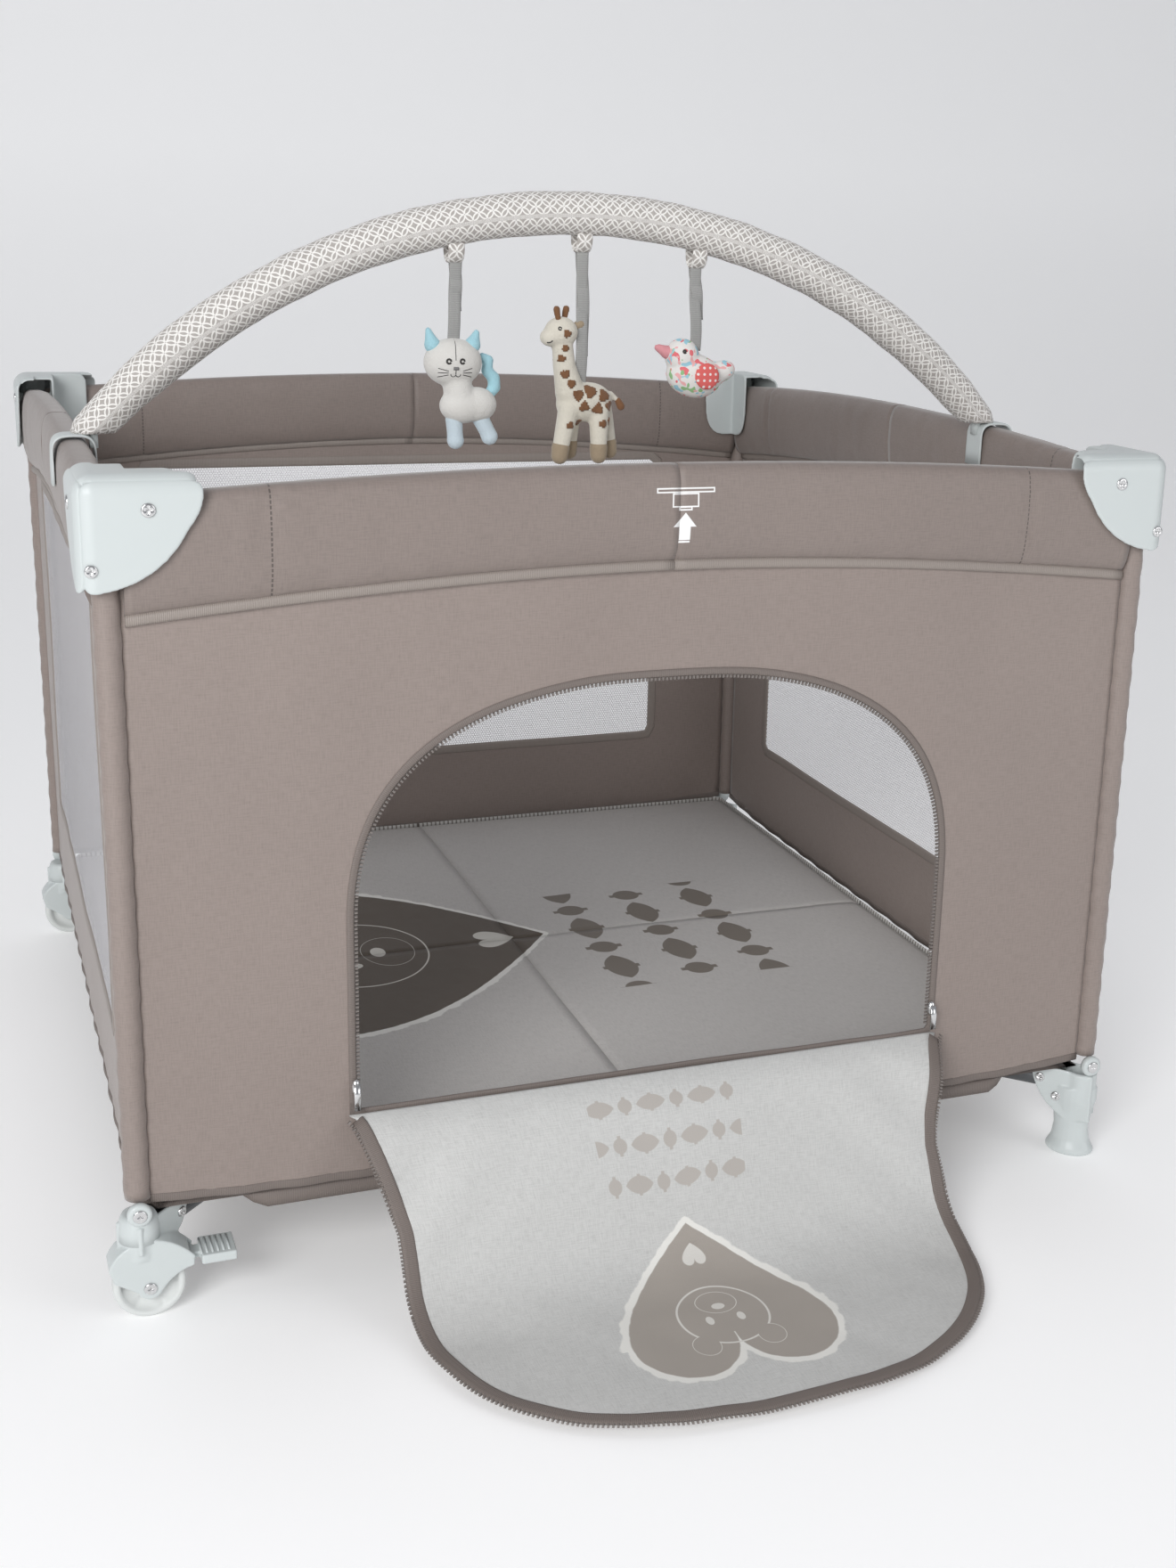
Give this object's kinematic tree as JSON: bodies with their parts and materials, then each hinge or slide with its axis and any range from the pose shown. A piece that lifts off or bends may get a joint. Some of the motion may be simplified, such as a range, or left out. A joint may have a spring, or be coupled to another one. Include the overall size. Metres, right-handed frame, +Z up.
{
  "type": "folding playpen",
  "caption": "Square folding playpen with fabric and net walls, a zipped crawl-through door, a floor mat, two braked wheels and a toy bow.",
  "frame": {"origin": "bottom centre of the whole playpen's box, on the floor, opened door flap included", "axes": "+Z up, +Y to the back, +X to the right as seen from the door; the wheels are on the left"},
  "size_m": [1, 1.2678, 0.955],
  "materials": {
    "taupe_fabric": "satin woven polyester, warm grey brown",
    "grey_steel": "satin dark grey tube",
    "pale_plastic": "satin pale mint grey moulding",
    "wheel_plastic": "satin off-white moulding",
    "mat_fabric": "smooth padded cloth, light grey with a dark heart print",
    "flap_fabric": "smooth white cloth with a pale heart print",
    "bow_fabric": "white cloth with a grey interlaced ring print",
    "mesh_net": "pale hexagonal net",
    "trim_fabric": "ribbed binding tape, darker grey brown",
    "chrome": "polished screw heads",
    "plush": "short-pile plush",
    "blue_felt": "pale blue felt",
    "coral_felt": "coral cotton"
  },
  "bodies": {
    "root": {"post_front_left": "taupe_fabric", "cap_front_left": "pale_plastic", "wheel_housing_front": "pale_plastic", "wall_front": "taupe_fabric", "wall_left": "taupe_fabric"},
    "leg_front_left": {"leg_front_left": "grey_steel", "mat_front_left": "mat_fabric"},
    "hub": {"hub": "pale_plastic"},
    "leg_front_right": {"leg_front_right": "grey_steel", "mat_front_right": "mat_fabric"},
    "leg_back_right": {"leg_back_right": "grey_steel", "mat_back_right": "mat_fabric"},
    "leg_back_left": {"leg_back_left": "grey_steel", "mat_back_left": "mat_fabric"},
    "post_front_right": {"post_front_right": "taupe_fabric", "cap_front_right": "pale_plastic", "foot_front": "pale_plastic", "wall_right": "taupe_fabric"},
    "post_back_right": {"post_back_right": "taupe_fabric", "cap_back_right": "pale_plastic", "foot_back": "pale_plastic"},
    "post_back_left": {"post_back_left": "taupe_fabric", "cap_back_left": "pale_plastic", "wheel_housing_back": "pale_plastic", "wall_back": "taupe_fabric"},
    "rail_front_left": {"rail_front_left": "grey_steel", "band_front_left": "taupe_fabric"},
    "rail_front_right": {"rail_front_right": "grey_steel", "band_front_right": "taupe_fabric"},
    "lock_front": {"lock_front": "pale_plastic"},
    "lock_button_front": {"lock_button_front": "pale_plastic"},
    "rail_right_front": {"rail_right_front": "grey_steel", "band_right_front": "taupe_fabric", "bow_clip_right": "pale_plastic"},
    "rail_right_back": {"rail_right_back": "grey_steel", "band_right_back": "taupe_fabric"},
    "lock_right": {"lock_right": "pale_plastic"},
    "lock_button_right": {"lock_button_right": "pale_plastic"},
    "rail_back_left": {"rail_back_left": "grey_steel", "band_back_left": "taupe_fabric"},
    "rail_back_right": {"rail_back_right": "grey_steel", "band_back_right": "taupe_fabric"},
    "lock_back": {"lock_back": "pale_plastic"},
    "lock_button_back": {"lock_button_back": "pale_plastic"},
    "rail_left_front": {"rail_left_front": "grey_steel", "band_left_front": "taupe_fabric", "bow_clip_left": "pale_plastic"},
    "rail_left_back": {"rail_left_back": "grey_steel", "band_left_back": "taupe_fabric"},
    "lock_left": {"lock_left": "pale_plastic"},
    "lock_button_left": {"lock_button_left": "pale_plastic"},
    "wheel_front": {"wheel_front": "wheel_plastic"},
    "brake_pedal_front": {"brake_pedal_front": "pale_plastic"},
    "wheel_back": {"wheel_back": "wheel_plastic"},
    "brake_pedal_back": {"brake_pedal_back": "pale_plastic"},
    "door_flap": {"door_flap": "flap_fabric"},
    "bow": {"bow": "bow_fabric"},
    "toy_cat": {"toy_cat": "plush"},
    "toy_giraffe": {"toy_giraffe": "plush"},
    "toy_bird": {"toy_bird": "plush"}
  },
  "joints": [
    {"name": "fold", "type": "hinge", "parent": "root", "child": "leg_front_left", "pos_m": [-0.45079, -0.31684, 0.076], "axis": [0.7071, -0.7071, 0], "range_deg": [0, 80], "deforming": ["wall_front", "wall_right", "wall_back", "wall_left", "door_flap", "bow", "toy_cat", "toy_giraffe", "toy_bird", "band_front_left", "band_front_right", "band_right_front", "band_right_back", "band_back_right", "band_back_left", "band_left_back", "band_left_front", "mat_front_left", "mat_front_right", "mat_back_right", "mat_back_left"]},
    {"name": "hub_level", "type": "hinge", "parent": "leg_front_left", "child": "hub", "pos_m": [-0.02929, 0.10466, 0.076], "axis": [-0.7071, 0.7071, 0], "range_deg": [0, 80]},
    {"name": "fold_leg_front_right", "type": "hinge", "parent": "hub", "child": "leg_front_right", "pos_m": [0.03529, 0.10466, 0.076], "axis": [0.7071, 0.7071, 0], "range_deg": [0, 80]},
    {"name": "fold_post_front_right", "type": "hinge", "parent": "leg_front_right", "child": "post_front_right", "pos_m": [0.45679, -0.31684, 0.076], "axis": [-0.7071, -0.7071, 0], "range_deg": [0, 80]},
    {"name": "fold_leg_back_right", "type": "hinge", "parent": "hub", "child": "leg_back_right", "pos_m": [0.03529, 0.16923, 0.076], "axis": [-0.7071, 0.7071, 0], "range_deg": [0, 80]},
    {"name": "fold_post_back_right", "type": "hinge", "parent": "leg_back_right", "child": "post_back_right", "pos_m": [0.45679, 0.59073, 0.076], "axis": [0.7071, -0.7071, 0], "range_deg": [0, 80]},
    {"name": "fold_leg_back_left", "type": "hinge", "parent": "hub", "child": "leg_back_left", "pos_m": [-0.02929, 0.16923, 0.076], "axis": [-0.7071, -0.7071, 0], "range_deg": [0, 80]},
    {"name": "fold_post_back_left", "type": "hinge", "parent": "leg_back_left", "child": "post_back_left", "pos_m": [-0.45079, 0.59073, 0.076], "axis": [0.7071, 0.7071, 0], "range_deg": [0, 80]},
    {"name": "fold_rail_front_left", "type": "hinge", "parent": "root", "child": "rail_front_left", "pos_m": [-0.4385, -0.33806, 0.705], "axis": [0, 1, 0], "range_deg": [0, 80]},
    {"name": "level_lock_front", "type": "hinge", "parent": "rail_front_left", "child": "lock_front", "pos_m": [-0.017, -0.33806, 0.705], "axis": [0, -1, 0], "range_deg": [0, 80]},
    {"name": "fold_rail_front_right", "type": "hinge", "parent": "lock_front", "child": "rail_front_right", "pos_m": [0.023, -0.33806, 0.705], "axis": [0, -1, 0], "range_deg": [0, 80]},
    {"name": "lock_button_front", "type": "slide", "parent": "lock_front", "child": "lock_button_front", "axis": [0, 0, 1], "range_m": [0, 0.005], "stiffness_N_per_m": 150, "springref_m": -0.001},
    {"name": "fold_rail_right_front", "type": "hinge", "parent": "post_front_right", "child": "rail_right_front", "pos_m": [0.478, -0.30456, 0.705], "axis": [-1, 0, 0], "range_deg": [0, 80]},
    {"name": "level_lock_right", "type": "hinge", "parent": "rail_right_front", "child": "lock_right", "pos_m": [0.478, 0.11694, 0.705], "axis": [1, 0, 0], "range_deg": [0, 80]},
    {"name": "fold_rail_right_back", "type": "hinge", "parent": "lock_right", "child": "rail_right_back", "pos_m": [0.478, 0.15694, 0.705], "axis": [1, 0, 0], "range_deg": [0, 80]},
    {"name": "lock_button_right", "type": "slide", "parent": "lock_right", "child": "lock_button_right", "axis": [0, 0, 1], "range_m": [0, 0.005], "stiffness_N_per_m": 150, "springref_m": -0.001},
    {"name": "fold_rail_back_left", "type": "hinge", "parent": "post_back_left", "child": "rail_back_left", "pos_m": [-0.4385, 0.61194, 0.705], "axis": [0, 1, 0], "range_deg": [0, 80]},
    {"name": "level_lock_back", "type": "hinge", "parent": "rail_back_left", "child": "lock_back", "pos_m": [-0.017, 0.61194, 0.705], "axis": [0, -1, 0], "range_deg": [0, 80]},
    {"name": "fold_rail_back_right", "type": "hinge", "parent": "lock_back", "child": "rail_back_right", "pos_m": [0.023, 0.61194, 0.705], "axis": [0, -1, 0], "range_deg": [0, 80]},
    {"name": "lock_button_back", "type": "slide", "parent": "lock_back", "child": "lock_button_back", "axis": [0, 0, 1], "range_m": [0, 0.005], "stiffness_N_per_m": 150, "springref_m": -0.001},
    {"name": "fold_rail_left_front", "type": "hinge", "parent": "root", "child": "rail_left_front", "pos_m": [-0.472, -0.30456, 0.705], "axis": [-1, 0, 0], "range_deg": [0, 80]},
    {"name": "level_lock_left", "type": "hinge", "parent": "rail_left_front", "child": "lock_left", "pos_m": [-0.472, 0.11694, 0.705], "axis": [1, 0, 0], "range_deg": [0, 80]},
    {"name": "fold_rail_left_back", "type": "hinge", "parent": "lock_left", "child": "rail_left_back", "pos_m": [-0.472, 0.15694, 0.705], "axis": [1, 0, 0], "range_deg": [0, 80]},
    {"name": "lock_button_left", "type": "slide", "parent": "lock_left", "child": "lock_button_left", "axis": [0, 0, 1], "range_m": [0, 0.005], "stiffness_N_per_m": 150, "springref_m": -0.001},
    {"name": "wheel_front", "type": "hinge", "parent": "root", "child": "wheel_front", "pos_m": [-0.466, -0.33806, 0.031], "axis": [0, 1, 0], "continuous": true},
    {"name": "brake_pedal_front", "type": "hinge", "parent": "root", "child": "brake_pedal_front", "pos_m": [-0.432, -0.33806, 0.052], "axis": [0, 1, 0], "range_deg": [0, 16]},
    {"name": "wheel_back", "type": "hinge", "parent": "post_back_left", "child": "wheel_back", "pos_m": [-0.466, 0.61194, 0.031], "axis": [0, 1, 0], "continuous": true},
    {"name": "brake_pedal_back", "type": "hinge", "parent": "post_back_left", "child": "brake_pedal_back", "pos_m": [-0.432, 0.61194, 0.052], "axis": [0, 1, 0], "range_deg": [0, 16]},
    {"name": "door_flap", "type": "hinge", "parent": "root", "child": "door_flap", "pos_m": [0.003, -0.34456, 0.165], "axis": [-1, 0, 0], "range_deg": [0, 112], "deforming": ["door_flap"]},
    {"name": "bow_lift", "type": "slide", "parent": "rail_left_front", "child": "bow", "axis": [0, 0, 1], "range_m": [0, 0.06]},
    {"name": "swing_cat", "type": "hinge", "parent": "bow", "child": "toy_cat", "pos_m": [-0.118, -0.06306, 0.90314], "axis": [1, 0, 0], "range_deg": [-35, 35]},
    {"name": "swing_giraffe", "type": "hinge", "parent": "bow", "child": "toy_giraffe", "pos_m": [0.009, -0.06306, 0.91497], "axis": [1, 0, 0], "range_deg": [-35, 35]},
    {"name": "swing_bird", "type": "hinge", "parent": "bow", "child": "toy_bird", "pos_m": [0.129, -0.06306, 0.90213], "axis": [1, 0, 0], "range_deg": [-35, 35]}
  ],
  "couplings": [
    {"joint": "hub_level", "follows": "fold", "ratio": 1},
    {"joint": "fold_leg_front_right", "follows": "fold", "ratio": 1},
    {"joint": "fold_post_front_right", "follows": "fold", "ratio": 1},
    {"joint": "fold_leg_back_right", "follows": "fold", "ratio": 1},
    {"joint": "fold_post_back_right", "follows": "fold", "ratio": 1},
    {"joint": "fold_leg_back_left", "follows": "fold", "ratio": 1},
    {"joint": "fold_post_back_left", "follows": "fold", "ratio": 1},
    {"joint": "fold_rail_front_left", "follows": "fold", "ratio": 1},
    {"joint": "level_lock_front", "follows": "fold", "ratio": 1},
    {"joint": "fold_rail_front_right", "follows": "fold", "ratio": 1},
    {"joint": "fold_rail_right_front", "follows": "fold", "ratio": 1},
    {"joint": "level_lock_right", "follows": "fold", "ratio": 1},
    {"joint": "fold_rail_right_back", "follows": "fold", "ratio": 1},
    {"joint": "fold_rail_back_left", "follows": "fold", "ratio": 1},
    {"joint": "level_lock_back", "follows": "fold", "ratio": 1},
    {"joint": "fold_rail_back_right", "follows": "fold", "ratio": 1},
    {"joint": "fold_rail_left_front", "follows": "fold", "ratio": 1},
    {"joint": "level_lock_left", "follows": "fold", "ratio": 1},
    {"joint": "fold_rail_left_back", "follows": "fold", "ratio": 1}
  ]
}
